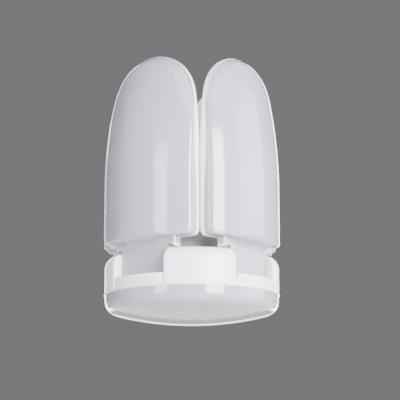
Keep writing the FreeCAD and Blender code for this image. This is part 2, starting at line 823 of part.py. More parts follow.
def cap():
    """The screw cap: threaded shell, insulator and centre contact."""
    body = new_body("e27_shell")
    skirt = dim["skirt_radius"]
    wall = dim["shell_wall"]
    seat = dim["neck_height"]
    crest = dim["thread_crest"]
    valley = dim["thread_root"]
    skirt_top = seat + dim["skirt_height"]
    pitch = dim["thread_pitch"]
    radius = pitch * THREAD_ROUND
    roll = valley - dim["shell_roll_in"]
    under = skirt_top - wall
    corners = [(skirt, seat), (skirt, skirt_top)]
    height = skirt_top
    for turn in range(int(DIMENSIONS["thread_turns"])):
        corners.append((valley, height + pitch * THREAD_VALLEY))
        corners.append((crest, height + pitch * THREAD_CREST, radius, 1))
        height = height + pitch
    top = height + dim["shell_roll_up"]
    corners += [
        (valley, height),
        (roll, top),
        (roll - wall, top),
        (valley - wall, height - wall),
        (valley - wall, under),
        (dim["spigot_radius"], under),
        (dim["spigot_radius"], seat),
    ]
    sketch = new_sketch(body, "XZ_Plane")
    outline(sketch, corners)
    revolve(body, sketch)
    place(body, "e27_shell")
    body = new_body("e27_insulator")
    base = roll - wall
    sketch = new_sketch(body, "XZ_Plane")
    low = top - dim["glass_low"]
    outline(sketch, [
        (0, low),
        (base, low),
        (base, top),
        (dim["glass_top_radius"], cap_top + dim["glass_height"]),
        (0, cap_top + dim["glass_height"]),
    ])
    revolve(body, sketch)
    sketch = new_sketch(body, "XY_Plane", cap_top + dim["glass_height"])
    circle(sketch, 0, -dim["lead_radius"], dim["lead_radius"] + dim["clearance"])
    pocket(body, sketch, dim["glass_height"] + dim["glass_low"])
    place(body, "e27_insulator")
    body = new_body("e27_contact")
    sketch = new_sketch(body, "XZ_Plane")
    low = cap_top + dim["glass_height"]
    crown = dim["contact_radius"] - dim["contact_crown_in"]
    outline(sketch, [
        (0, low),
        (dim["contact_radius"], low),
        (dim["contact_radius"], low + dim["contact_edge"]),
        (crown, low + dim["contact_height"], dim["contact_crown"], 1),
        (0, low + dim["contact_height"]),
    ])
    revolve(body, sketch)
    place(body, "e27_contact")


# ---- blade ----

def blade_corners(inset=0.0):
    """The blade's outline seen from the front, drawn in by an inset."""
    inset = size(inset)
    half = blade_half - inset
    low = blade_low + inset
    corner = dim["blade_corner"] - inset
    side = dim["side_curve"] - inset
    tip = tip_radius - inset
    turn_x = side_centre + side * tip_cosine
    turn_z = dim["side_top"] + side * tip_sine
    return [
        (half - corner, low),
        (half, low + corner, corner, 1),
        (half, dim["side_top"]),
        (turn_x, turn_z, side, 1),
        (0, tip_centre + tip, tip, 1),
        (-turn_x, turn_z, tip, 1),
        (-half, dim["side_top"], side, 1),
        (-half, low + corner),
        (corner - half, low, corner, 1),
    ]


def blade_slab(name, inset, out, depth):
    """A slab of the blade's outline between two distances out."""
    body = new_body(name)
    sketch = new_sketch(body, "XZ_Plane", out)
    outline(sketch, blade_corners(inset))
    pad(body, sketch, depth)
    return body


def blade_volume(name, inset, start):
    """The space that the diffuser fills: the outline, bounded by the round front."""
    inset = size(inset)
    body = new_body(name)
    sketch = new_sketch(body, "XZ_Plane", start)
    outline(sketch, blade_corners(inset))
    pad(body, sketch, front_radius - start + dim["overlap"])
    sketch = new_sketch(body, "XZ_Plane")
    front = front_radius - inset
    outline(sketch, [
        (front, 0),
        (FAR, 0),
        (FAR, 2 * FAR),
        (tip_out - inset, 2 * FAR),
        (tip_out - inset, blade_top + dim["overlap"]),
        (nose_out - inset, dim["nose_up"], dim["nose_curve"] - inset, -1),
        (front, dim["front_straight"], dim["front_curve"] - inset, -1),
    ])
    groove = revolve(body, sketch, "PartDesign::Groove")
    return body, groove


def blade_diffuser(blade, number):
    """The milky cover: side walls, round front, and the skin of the neck."""
    wall = dim["diffuser_wall"]
    outer, groove = blade_volume("diffuser_outer", 0, edge_out)

    def front_edge(edge):
        point = middle(edge)
        off_tray = point.y < -edge_out.value - ON_FACE
        return off_tray and edge.Length > SHORT_EDGE and abs(point.x) > ON_FACE

    fillet(outer, groove, dim["front_round"], front_edge)
    inner, groove = blade_volume("diffuser_inner", wall, edge_out)
    shell = cut(outer, inner)
    low = blade_low
    past = dim["overlap"]
    notch = blade_box(dim["collar_half"] + dim["clearance"], (edge_out - past, neck_split),
                      (low - past, low + wall + past))
    skin = (neck_split, neck_front)
    collar = blade_box(dim["collar_half"], skin, (collar_low, low + wall))
    tongue = blade_box(neck_half, skin, (neck_low, collar_low + past))
    place(join(cut(shell, notch), collar, tongue), f"blade_diffuser_{number}", blade)


def blade_housing(blade, number):
    """The white back tray with the neck that hinges in the hub."""
    back = blade_back
    tray = blade_slab("tray", 0, back, dim["tray_lip"])
    recess = blade_slab("recess", dim["tray_edge"], board_back, dim["tray_lip"])
    wide = dim["collar_half"]
    low = blade_low
    past = dim["overlap"]
    neck_out = (neck_back, neck_split)
    end_wall = blade_box(wide, (back, neck_split), (low, low + dim["diffuser_wall"]))
    collar = blade_box(wide, neck_out, (collar_low, low + past))
    tongue = blade_box(neck_half, neck_out, (neck_low, collar_low + past))
    gussets = [
        blade_box_at(u, dim["gusset_half"], (back + past, neck_split), (low + past, root_top))
        for u in (-dim["gusset_at"], dim["gusset_at"])
    ]
    lip_inset = dim["diffuser_wall"] + dim["clearance"]
    lip_high = dim["tray_lip"] - dim["tray_wall"] + dim["lip_rise"]
    lip_outer = blade_slab("lip_outer", lip_inset, board_back, lip_high)
    lip_inner = blade_slab("lip_inner", lip_inset + dim["lip_wall"], board_back - past, lip_high + past * 2)
    above = blade_box(FAR, (0, FAR), (dim["side_top"], 2 * FAR))
    lip = cut(lip_outer, lip_inner, above)
    solid = join(cut(tray, recess), lip, end_wall, collar, tongue, *gussets)
    out = -hinge_out
    up = dim["hinge_up"]
    bite = dim["screw_bite"]
    screw_hole = rod(dim["screw_radius"], bite, (neck_half - bite, out, up), "x")
    bush_space = rod(dim["bush_radius"] + dim["running_gap"], dim["bush_bite"] + dim["clearance"],
                     (-neck_half, out, up), "x")
    channel = dim["lead_channel"]
    inside = dim["bush_bite"] - neck_half
    across = (inside, inside + channel)
    lead_way = box(across, (-neck_split, out + channel / 2),
                   (up - channel / 2, low + dim["lead_channel_up"]))
    lead_exit = box(across, (-neck_split, -board_back), (low + dim["diffuser_wall"], root_top))
    place(cut(solid, screw_hole, bush_space, lead_way, lead_exit), f"blade_housing_{number}", blade)


def board_screw_spots():
    first = blade_low + dim["board_screw_low"]
    return [(0, first + dim["board_screw_step"] * count) for count in range(BOARD_SCREWS)]


def blade_board(blade, number):
    """The light board, screwed flat to the tray."""
    slab = blade_slab("board", dim["board_margin"], board_back, dim["board_wall"])
    past = dim["overlap"]
    notch = blade_box(dim["collar_half"], (board_back - past, board_front + past),
                      (blade_low, root_top + past))
    holes = [rod(dim["board_screw_radius"], dim["board_wall"], (x, -board_back, z), "y")
             for x, z in board_screw_spots()]
    place(cut(slab, notch, *holes), f"blade_board_{number}", blade)


def blade_leds(blade, number):
    """Rows of small emitters on the board."""
    body = new_body("blade_leds")
    left = dim["led_side_margin"] - blade_half
    low = root_top + dim["led_first"]
    wide = dim["led_wide"] / 2
    sketch = new_sketch(body, "XZ_Plane", board_front)
    outline(sketch, [
        (left - wide, low),
        (left + wide, low),
        (left + wide, low + dim["led_tall"]),
        (left - wide, low + dim["led_tall"]),
    ])
    first = pad(body, sketch, dim["led_high"])
    pattern = body.newObject("PartDesign::LinearPattern", "pattern")
    pattern.Originals = [first]
    pattern.Direction = (sketch, ["H_Axis"])
    pattern.Direction2 = (sketch, ["V_Axis"])
    pattern.Occurrences = LED_COLUMNS
    pattern.Occurrences2 = LED_ROWS
    pattern.setExpression("Length", (-left * 2).text)
    pattern.setExpression("Length2", (tip_centre + dim["led_last"] - low).text)
    body.Tip = pattern
    place(body, f"blade_leds_{number}", blade)


def board_screws(blade, number):
    screws = []
    for x, z in board_screw_spots():
        shank = rod(dim["board_screw_radius"], dim["board_wall"], (x, -board_back, z), "y")
        head = rod(dim["board_screw_head"], dim["board_head_high"], (x, -board_front, z), "y")
        screws.append(join(shank, head))
    place(group(screws), f"board_screws_{number}", blade)


def hinge(blade, number):
    """Pivot screw, hollow bush and the two friction washers of a blade."""
    out = -hinge_out
    up = dim["hinge_up"]
    bite = dim["screw_bite"]
    washer = dim["neck_side_gap"]
    through = washer + dim["tower_wall"]
    shank = rod(dim["screw_radius"], bite + through, (neck_half - bite, out, up), "x")
    head = rod(dim["screw_head_radius"], dim["screw_head"], (tower_in, out, up), "x")
    head_end = tower_in + dim["screw_head"]
    half = dim["drive_half"]
    wide = dim["drive_wide"]
    drive = box((head_end - dim["drive_deep"], head_end + dim["overlap"]),
                (out - half, out + half), (up - wide, up + wide))
    place(cut(join(shank, head), drive), f"pivot_screw_{number}", blade)
    length = dim["bush_bite"] + through
    thick = dim["bush_flange"]
    start = -tower_in
    tube = rod(dim["bush_radius"], length, (start, out, up), "x")
    flange = rod(dim["bush_flange_radius"], thick, (start - thick, out, up), "x")
    bore = rod(dim["bush_bore"], length + thick, (start - thick, out, up), "x")
    place(cut(join(tube, flange), bore), f"pivot_bush_{number}", blade)
    washers = []
    for start, pin in ((neck_half, dim["screw_radius"]), (-dim["slot_half"], dim["bush_radius"])):
        disc = rod(dim["washer_radius"], washer, (start, out, up), "x")
        hole = rod(pin + dim["running_gap"], washer, (start, out, up), "x")
        washers.append(cut(disc, hole))
    place(group(washers), f"friction_washers_{number}", blade)


def turned(x, y, z, blade):
    """A point of blade 1, turned to another blade."""
    for step in range(blade):
        x, y = -y, x
    return (x, y, z)


def leads():
    """Leads from the driver to the boards, split where they pass the hinge's hollow bush."""
    number_of = DIMENSIONS
    radius = number_of["lead_radius"]
    out = -hinge_out.value
    up = number_of["hinge_up"]
    inside = number_of["bush_bite"] - neck_half.value + number_of["lead_channel"] / 2
    split = inside - number_of["lead_split"]
    face = -(board_front.value + radius)
    low = blade_low.value
    face_up = low + number_of["lead_face_up"]
    tower = tower_in.value + number_of["lead_clears_tower"]
    boss_side = deck_screw_at.value - number_of["deck_boss_radius"]
    pass_x = -(tower_in.value + boss_side) / 2
    pass_y = radius - well_in.value
    bend = number_of["lead_bend"]
    pad_x = number_of["driver_wide"] / 2 - number_of["pad_in"]
    pad_up = number_of["driver_low"] + number_of["pad_up"]
    reach = number_of["pad_reach"]
    wall = number_of["driver_wall"]
    pads = [(-pad_x, -reach, 0), (pad_x, -reach, 0), (pad_x, reach + wall, wall),
            (-pad_x, reach + wall, wall)]
    for blade, (x, before, surface) in enumerate(pads):
        number = blade + 1
        lead(f"blade_lead_{number}", [
            (split, out, up),
            (inside, out, up),
            (inside, out, low + number_of["lead_rise"]),
            (inside, face, face_up),
            (inside, face, low + number_of["lead_end_up"]),
        ], blade)
        lead(f"hub_lead_{number}", [
            turned(split - number_of["clearance"], out, up, blade),
            (*turned(-tower, out, up, blade), bend),
            (*turned(pass_x, pass_y, up, blade), bend),
            (x, before, pad_up),
            (x, surface, pad_up),
        ])
    start = number_of["driver_top"] - number_of["top_pad_down"]
    contact = cap_top.value + number_of["glass_height"]
    lead("contact_lead", [(0, -radius, start), (0, -radius, contact)])
    at = -number_of["shell_lead_at"]
    shell = number_of["thread_root"] - number_of["shell_wall"] - number_of["clearance"]
    height = number_of["neck_height"] + number_of["skirt_height"] + number_of["shell_joint_up"]
    lead("shell_lead", [(at, -radius, start), (at, -radius, height), (-shell, -radius, height)])
    at = number_of["center_lead_at"]
    hole = number_of["lead_hole_at"]
    over_floor = floor_top.value + number_of["lead_over_floor"]
    lead("center_lead", [
        (at, wall / 2, number_of["driver_low"]),
        (at, wall / 2, over_floor),
        (0, -hole, over_floor),
        (0, -hole, number_of["floor_low"]),
    ])


hub_frame()
for number in range(1, BLADES + 1):
    hinge_cover(number)
neck_housing()
center_lens()
center_board()
center_leds()
hub_screws()
driver()
cap()
for blade in range(BLADES):
    number = blade + 1
    blade_housing(blade, number)
    blade_diffuser(blade, number)
    blade_board(blade, number)
    blade_leds(blade, number)
    board_screws(blade, number)
    hinge(blade, number)
leads()

doc.recompute()
failed = [item for item in doc.Objects if "Invalid" in item.State or "Error" in item.State]
if failed:
    names = [f"{item.Label} of {[user.Label for user in item.InList]}" for item in failed]
    raise RuntimeError("failed: " + ", ".join(names))
for piece in parts:
    if piece.Shape.isNull() or not piece.Shape.isValid() or not piece.Shape.Solids:
        raise RuntimeError(f"{piece.Label} has no valid solid")

os.makedirs("parts", exist_ok=True)
for piece in parts:
    piece.Shape.exportStep(f"parts/{piece.Label}.step")
    print(f"{piece.Label}: {len(piece.Shape.Solids)} solids, {piece.Shape.Volume:.1f} mm3")
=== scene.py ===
import json
import math

import bmesh
import bpy
import numpy as np
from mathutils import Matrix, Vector


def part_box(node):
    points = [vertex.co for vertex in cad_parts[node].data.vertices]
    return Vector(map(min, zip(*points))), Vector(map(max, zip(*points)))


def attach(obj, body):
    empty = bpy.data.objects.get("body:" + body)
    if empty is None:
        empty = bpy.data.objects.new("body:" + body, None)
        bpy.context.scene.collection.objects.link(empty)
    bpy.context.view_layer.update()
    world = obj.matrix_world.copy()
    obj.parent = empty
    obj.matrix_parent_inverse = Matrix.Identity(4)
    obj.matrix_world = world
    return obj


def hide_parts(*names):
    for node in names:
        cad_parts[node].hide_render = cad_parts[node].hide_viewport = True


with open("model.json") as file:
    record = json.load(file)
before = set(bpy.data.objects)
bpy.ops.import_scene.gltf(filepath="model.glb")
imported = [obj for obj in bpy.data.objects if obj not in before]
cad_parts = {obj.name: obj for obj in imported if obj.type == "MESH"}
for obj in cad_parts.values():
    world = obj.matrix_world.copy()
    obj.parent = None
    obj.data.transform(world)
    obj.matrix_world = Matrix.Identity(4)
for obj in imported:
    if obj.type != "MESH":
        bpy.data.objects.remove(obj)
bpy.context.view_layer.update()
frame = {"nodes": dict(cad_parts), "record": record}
NODES = frame["nodes"]
BODY_OF = {node: body for body, nodes in frame["record"]["behaviour"]["bodies"].items()
           for node in nodes}
BLADES = 4

# ---------------------------------------------------------------------------
# Sizes in millimetres. Heights are above the hub rim's lower edge; "out" is the
# distance from the lamp's axis; blade 1 faces -Y and the others follow anticlockwise.
# ---------------------------------------------------------------------------
MM = 0.001
MERGE = 0.002                                # points this near each other are one
SEAM = 0.02                                  # gap between faces that would else coincide
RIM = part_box("hub_frame")[0].z / MM          # height of the rim's lower edge in the frame
TURNED = math.radians(90)                    # angle from one blade to the next

# The blade's outline, seen from its front
BLADE_HALF = 30.7
BLADE_LOW = 26.3
BLADE_CORNER = 3.6
SIDE_TOP = 72.0                              # the sides are straight up to here,
SIDE_CURVE = 230.0                           # and bend in with this radius
TIP_START = 104.0                            # up to here, where the round tip starts
OUTLINE_STEPS = (14, 6, 14, 10, 26)          # points on foot, corner, side, bend and tip

# The blade's front, a surface of revolution about the lamp's axis
EDGE_OUT = 33.25                             # the diffuser's side starts here, on the tray's edge
FRONT_RADIUS = 48.68
FRONT_STRAIGHT = 57.0                        # upright up to here
FRONT_CURVE = 273.0                          # radius of the arc from there to the nose
NOSE_UP = 106.4                              # the nose, where the front bends in to the tip
NOSE_OUT = 44.5
NOSE_CURVE = 54.0                            # radius of the arc from the nose to the tip
TIP_OUT = 36.2
TIP_OVER = 0.5                               # that arc ends this far above the blade
FRONT_ROUND = 1.7                            # radius of the front's edge along the sides
TIP_ROUND = 5.5                              # and round the tip, where it is soft
TIP_ROUND_FROM = 92.0                        # it grows from this height
TIP_ROUND_TO = 116.0                         # to this one
SOFT = 2.0                                   # an edge of more radius than this is soft
CORNER_LEFT = 0.2                            # radius that the foot's corners keep inside an edge
SOFT_REACH = 9.0                             # a soft edge may reach in this much further
DIFFUSER_WALL = 1.6
INNER_SOFTEN = 0.6                           # the inner edge's radius over the outer's
SIDE_SHARES = (0.0, 0.06, 0.35, 0.5, 0.9, 1.0)  # where the rings on the side are
SIDE_LEAST = 0.05                            # least depth of the side
EDGE_TURNS = (12, 24, 36, 48, 60, 70, 80, 90)  # where the rings on the edge are, in degrees
EDGE_LEAST = 0.06                            # least height of those rings over the tray
SPINE_ROWS = 19                              # rings from the edge to the middle line
SPINE_LIFT = 26.0                            # that line starts this far above the foot

# The tray's white lip on the cover's side; above the tray's edge the white runs up over the cover's
# side as a painted highlight
LIP_FROM = 31.6                              # its foot, on the tray's side
LIP_PROUD = 0.05                             # it stands this far outside the cover
LIP_WALL = 0.35
LIP_LEAST = 0.1                              # least height over the tray's edge
LIP_SLOPE = 0.12                             # its outer corner is this much lower
# Painted highlight: the white covers this share of the milky cover's side, growing with height
PAINTED_HIGHLIGHT_LOW = 0.12                               # share of the side that it covers low down
PAINTED_HIGHLIGHT_FROM = 45.0                         # it grows to the whole side from this height
PAINTED_HIGHLIGHT_TO = 86.0                           # to this one

# The neck, and the sweep from the blade's front down to it
SKIN_HALF = 16.05                            # the skin over the neck nearly fills the slot
SKIN_WALL = 1.2
SKIN_RISE = 0.8                              # the skin's back is this much higher, except on the neck
SKIN_OVER = (1.4, 0.6)                       # heights of the skin's first rows, above the bends
SKIN_LEAN = 0.06                             # how fast these rows lean back behind the front
SKIN_COLUMNS = 35
BESIDE_COLUMNS = 6                           # columns on each side of the neck
SWEEP_ROWS = 21
NECK_ROWS = 8
COLLAR_HALF = 20.5
COLLAR_LOW = 22.0
COLLAR_TOP = 26.9
COLLAR_LIP = 0.35                            # white edge beside the skin
COLLAR_BEHIND = 0.1                          # the block's front is this far behind the skin's
COLLAR_COLUMNS = 43
COLLAR_EDGE = 0.15                           # its broken edges
CORNER_FROM = 17.0                           # the collar's corners drop from here to its ends
CORNER_DROP = 1.2
NECK_LOW = 7.4                               # lower end of the skin
NECK_BACK = 34.6
NECK_SPLIT = 38.6                            # the skin's back lies on the white part here
NECK_FRONT = 39.8                            # the skin's front below the bends
SWEEP = 4.7                                  # radius of the two bends from the front to the neck
SWEEP_EDGE = 1.0                             # the same at the collar's ends
SWEEP_FROM = 9.0                             # it shrinks from here
SWEEP_TO = 18.0                              # to here, across
SWEEP_BASE = 26.25                           # height of the sweep's top without bends
SWEEP_LIFT = 0.68                            # rise of it for each millimetre of their radius
BEND = 0.4                                   # share of the rows on each bend
TUCK = 0.25                                  # how steeply the cover draws back behind the skin

# The lens and the bead at its joint
HUB_RADIUS = 48.0
RING_INNER = 43.0
LENS_FIT = 0.05                              # play between the lens's spigot and the ring
LENS_WALL = 1.8
LENS_DROP = 4.1                              # height of the lens's side,
LENS_TAPER = 0.3                             # which tapers in by this
LENS_SIDE = ((0.1, 0.66), (0.2, 0.33))       # rings on it: millimetres out, share of the drop
LENS_EDGE_RADIUS = 6.0                       # round edge below the side
LENS_EDGE_IN = 4.5                           # size of that edge across
LENS_EDGE_DOWN = 5.8                         # and down
LENS_DEPTH = 15.2                            # from the joint down to the middle of the dome
LENS_SPIGOT = 2.4                            # height of the spigot inside the ring
LENS_CHAMFER = 0.6                           # round corner at the joint
LENS_MIDDLE = 0.02                           # the turned section ends this near the axis
LENS_INNER_IN = 0.45                         # the inner edge starts this much further in
LENS_STEPS = (8, 20, 28, 14, 5)              # points on inner edge, inner dome, dome, edge and chamfer
LENS_COLUMNS = 200
BEAD = 0.42                                  # its radius
BEAD_IN = 0.35                               # its middle is this many radii inside the rim
BEAD_DOWN = 0.6                              # and this many below the joint
BEAD_POINTS = 12
BEAD_COLUMNS = 240

# The cap
NECK_HEIGHT = 50.0                           # height of the cap's seat
SKIRT_RADIUS = 13.3
SKIRT_HEIGHT = 6.0
SKIRT_RINGS = (0.15, 3.0, 5.5, 5.75)         # heights above the skirt's foot
SKIRT_END = 0.05                             # its last ring is this far below its top
SKIRT_EDGE = 0.12                            # its broken edges
SPIGOT_RADIUS = 12.3                         # the skirt fits over a spigot of this radius
SHELL_WALL = 0.3
THREAD_ROOT = 12.13
THREAD_CREST = 13.15
THREAD_PITCH = 3.629
THREAD_TURNS = 4
THREAD_GAP = 0.35                            # from the skirt to the thread's first ring
THREAD_GROW = 0.6                            # the thread grows over this share of a turn
THREAD_FADE = 0.5                            # and fades over this one
THREAD_ROWS = 14                             # rings in each turn
CAP_COLUMNS = 120
ROLL = ((0.3, 0.25), (0.75, 0.8), (1.0, 1.5))  # its rolled end, up and in from the thread

# Materials: scales in waves per metre, depths in metres
CLOUD_SCALE = 28.0                           # drift of a plastic's colour
GLOSS_SCALE = 60.0                           # and of its gloss
GRAIN_SCALE = 900.0
GRAIN_DEPTH = 0.00001
POLISHED_DEPTH = 0.000002
PLASTIC_IOR = 1.5
GLOW_DEPTH = 0.004                           # how deep light goes into a milky plastic
GLOW_TINT = (1.0, 0.95, 1.0)
COAT_ROUGH = 0.08
STAIN_SCALE = 200.0                          # drift of a metal's colour
BRUSH_SCALE = 400.0                          # and of its gloss
MARK_SCALE = 1600.0
MARK_DEPTH = 0.000004

# Width of the broken edges on the mouldings
EDGE_WIDTHS = {"hub_frame": 0.25, "neck_housing": 0.35}
EDGE_WIDTHS.update({f"hinge_cover_{n}": 0.3 for n in range(1, BLADES + 1)})
EDGE_WIDTHS.update({f"blade_housing_{n}": 0.25 for n in range(1, BLADES + 1)})
FLAT = 0.6                                   # faces that meet at less than this, in degrees, become one
SHARP = 28                                   # edges of more than this, in degrees, stay sharp

# The camera in millimetres and degrees, and the picture in pixels
FRAME_PIXELS = 400
FOCAL_PIXELS = 1607.3
AXIS_PIXEL = 191.8                           # where the lamp's axis stands in the picture
CAMERA_AWAY = 876.9
CAMERA_UP = -126.5
CAMERA_PITCH = 11.63
CAMERA_AROUND = 39.4

# The studio, in metres
FLOOR_HEIGHT = -0.32
FLOOR_SIZE = 8.0
SKY = (0.86, 0.87, 0.90, 1)
SKY_STRENGTH = 0.22
LIGHT_AIM = Vector((0, 0, 0.02))
# name, degrees round from the camera's side, height, distance, width, its height, watts
LIGHTS = (
    ("key_right", 29.5, 0.14, 1.1, 0.46, 0.68, 42.0),
    ("key_left", -40, 0.12, 1.1, 0.32, 0.56, 8.0),
    ("tent_right", 85, 0.15, 1.4, 1.1, 1.2, 30.0),
    ("tent_left", -85, 0.15, 1.4, 1.1, 1.2, 5.0),
    ("tent_top", 10, 1.1, 0.9, 1.2, 1.0, 13.0),
    ("tent_low", 180, -0.10, 1.0, 1.3, 0.12, 1.8),
    ("edge_left", -160, 0.10, 0.9, 0.14, 1.0, 5.0),
    ("edge_right", 160, 0.10, 0.9, 0.14, 1.0, 4.5),
)

# The round tip touches the bent sides; its circle follows from them
TIP_SINE = (TIP_START - SIDE_TOP) / SIDE_CURVE
TIP_COSINE = math.sqrt(1 - TIP_SINE ** 2)
SIDE_CENTRE = BLADE_HALF - SIDE_CURVE
TIP_RADIUS = (SIDE_CENTRE + SIDE_CURVE * TIP_COSINE) / TIP_COSINE
TIP_CENTRE = TIP_START - TIP_RADIUS * TIP_SINE
BLADE_TOP = TIP_CENTRE + TIP_RADIUS


# ---------------------------------------------------------------------------
# Mesh tools
# ---------------------------------------------------------------------------
def smooth_step(value, start, end):
    """A share that grows smoothly from 0 at the start to 1 at the end."""
    share = np.clip((value - start) / (end - start), 0, 1)
    return share * share * (3 - 2 * share)


def arc(centre, radius, start, end, steps):
    """Points of an arc in a plane, between two angles in degrees, without its last point."""
    angles = np.radians(np.linspace(start, end, steps, endpoint=False))
    return np.c_[centre[0] + radius * np.cos(angles), centre[1] + radius * np.sin(angles)]


def arc_centre(start, end, radius, turn):
    """Centre of the short arc of a radius between two points, anticlockwise where turn is 1."""
    start = np.array(start, float)
    end = np.array(end, float)
    way = end - start
    half = np.linalg.norm(way) / 2
    normal = np.array((-way[1], way[0])) / (2 * half)
    return (start + end) / 2 + normal * turn * math.sqrt(radius ** 2 - half ** 2)


def arc_points(start, end, radius, turn, steps):
    """Points from start to just before end along the short arc of a radius."""
    centre = arc_centre(start, end, radius, turn)
    first = math.atan2(start[1] - centre[1], start[0] - centre[0])
    swing = 2 * math.asin(math.dist(start, end) / 2 / radius) * turn
    angles = first + np.linspace(0, swing, steps, endpoint=False)
    return [(centre[0] + radius * math.cos(a), centre[1] + radius * math.sin(a)) for a in angles]


def line(start, end, steps):
    """Points of a straight line, without its last point."""
    share = np.linspace(0, 1, steps, endpoint=False)[:, None]
    return np.array(start) * (1 - share) + np.array(end) * share


def ring_faces(rings, count, close=False):
    """Quads between successive rings of the same number of points."""
    faces = []
    last = rings if close else rings - 1
    for ring in range(last):
        here = ring * count
        after = ((ring + 1) % rings) * count
        for index in range(count):
            step = (index + 1) % count
            faces.append((here + index, here + step, after + step, after + index))
    return faces


def make_piece(name, points, faces, body, slot, nodes=(), look=None, sharp=38):
    """A mesh object from points in millimetres that rides on a body of the frame.

    It has the material of its slot unless look names another. Edges of more degrees than
    sharp stay sharp.
    """
    mesh = bpy.data.meshes.new(name)
    mesh.from_pydata([tuple(point) for point in np.asarray(points) * MM], [], faces)
    shape = bmesh.new()
    shape.from_mesh(mesh)
    bmesh.ops.remove_doubles(shape, verts=shape.verts, dist=MERGE * MM)
    bmesh.ops.dissolve_degenerate(shape, edges=shape.edges, dist=MERGE * MM)
    bmesh.ops.recalc_face_normals(shape, faces=shape.faces)
    shape.to_mesh(mesh)
    shape.free()
    mesh.validate()
    mesh.polygons.foreach_set("use_smooth", [True] * len(mesh.polygons))
    mesh.set_sharp_from_angle(angle=math.radians(sharp))
    mesh.materials.append(MATERIALS[look or slot])
    piece = bpy.data.objects.new(name, mesh)
    bpy.context.scene.collection.objects.link(piece)
    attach(piece, body)
    if nodes:
        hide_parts(*nodes)
    return piece


def at_blade(points, number):
    """Turn points (across, out, up) of blade 1 into the frame, at a blade."""
    points = np.asarray(points, float)
    x, y, z = points[:, 0], -points[:, 1], points[:, 2] + RIM
    angle = TURNED * (number - 1)
    cos, sin = math.cos(angle), math.sin(angle)
    return np.c_[x * cos - y * sin, x * sin + y * cos, z]


def lathe(profile, steps):
    """Turn a closed profile (radius, height) about the lamp's axis."""
    profile = np.asarray(profile, float)
    angles = np.radians(np.linspace(0, 360, steps, endpoint=False))
    points = [
        np.c_[profile[:, 0] * math.sin(angle), -profile[:, 0] * math.cos(angle), profile[:, 1] + RIM]
        for angle in angles
    ]
    return np.vstack(points), ring_faces(steps, len(profile), close=True)


# ---------------------------------------------------------------------------
# Materials
# ---------------------------------------------------------------------------
def new_material(name):
    """A material with its node tree and its shader."""
    material = bpy.data.materials.new(name)
    material.use_nodes = True
    tree = material.node_tree
    return material, tree, tree.nodes["Principled BSDF"]


def place_noise(tree, scale, detail=3.0):
    """Noise in the object's own space; scale is in waves per metre."""
    space = tree.nodes.new("ShaderNodeTexCoord")
    noise = tree.nodes.new("ShaderNodeTexNoise")
    noise.inputs["Scale"].default_value = scale
    noise.inputs["Detail"].default_value = detail
    tree.links.new(space.outputs["Object"], noise.inputs["Vector"])
    return noise


def vary_colour(tree, shader, noise, dark, light):
    """Let the colour drift between two near shades."""
    ramp = tree.nodes.new("ShaderNodeValToRGB")
    ramp.color_ramp.elements[0].position = 0.3
    ramp.color_ramp.elements[0].color = (*dark, 1)
    ramp.color_ramp.elements[1].position = 0.7
    ramp.color_ramp.elements[1].color = (*light, 1)
    tree.links.new(noise.outputs["Fac"], ramp.inputs["Fac"])
    tree.links.new(ramp.outputs["Color"], shader.inputs["Base Color"])


def vary_roughness(tree, shader, noise, low, high):
    """Let the gloss drift between two values."""
    span = tree.nodes.new("ShaderNodeMapRange")
    span.inputs["To Min"].default_value = low
    span.inputs["To Max"].default_value = high
    tree.links.new(noise.outputs["Fac"], span.inputs["Value"])
    tree.links.new(span.outputs["Result"], shader.inputs["Roughness"])


def add_bump(tree, shader, noise, depth):
    """A grain as deep as given, in metres."""
    bump = tree.nodes.new("ShaderNodeBump")
    bump.inputs["Strength"].default_value = 1.0
    bump.inputs["Distance"].default_value = depth
    tree.links.new(noise.outputs["Fac"], bump.inputs["Height"])
    tree.links.new(bump.outputs["Normal"], shader.inputs["Normal"])


def plastic(name, dark, light, rough=(0.25, 0.33), depth=GRAIN_DEPTH, glow=0.0, coat=0.0):
    """Moulded plastic: cloudy colour, uneven gloss and a fine grain."""
    material, tree, shader = new_material(name)
    vary_colour(tree, shader, place_noise(tree, CLOUD_SCALE), dark, light)
    vary_roughness(tree, shader, place_noise(tree, GLOSS_SCALE, 5.0), *rough)
    add_bump(tree, shader, place_noise(tree, GRAIN_SCALE, 2.0), depth)
    shader.inputs["IOR"].default_value = PLASTIC_IOR
    if glow:
        shader.inputs["Subsurface Weight"].default_value = glow
        shader.inputs["Subsurface Scale"].default_value = GLOW_DEPTH
        shader.inputs["Subsurface Radius"].default_value = GLOW_TINT
    if coat:
        shader.inputs["Coat Weight"].default_value = coat
        shader.inputs["Coat Roughness"].default_value = COAT_ROUGH
    return material


def metal(name, dark, light, rough=(0.18, 0.3)):
    """Plated metal with fine marks from the tool."""
    material, tree, shader = new_material(name)
    vary_colour(tree, shader, place_noise(tree, STAIN_SCALE), dark, light)
    vary_roughness(tree, shader, place_noise(tree, BRUSH_SCALE, 6.0), *rough)
    add_bump(tree, shader, place_noise(tree, MARK_SCALE, 2.0), MARK_DEPTH)
    shader.inputs["Metallic"].default_value = 1.0
    return material


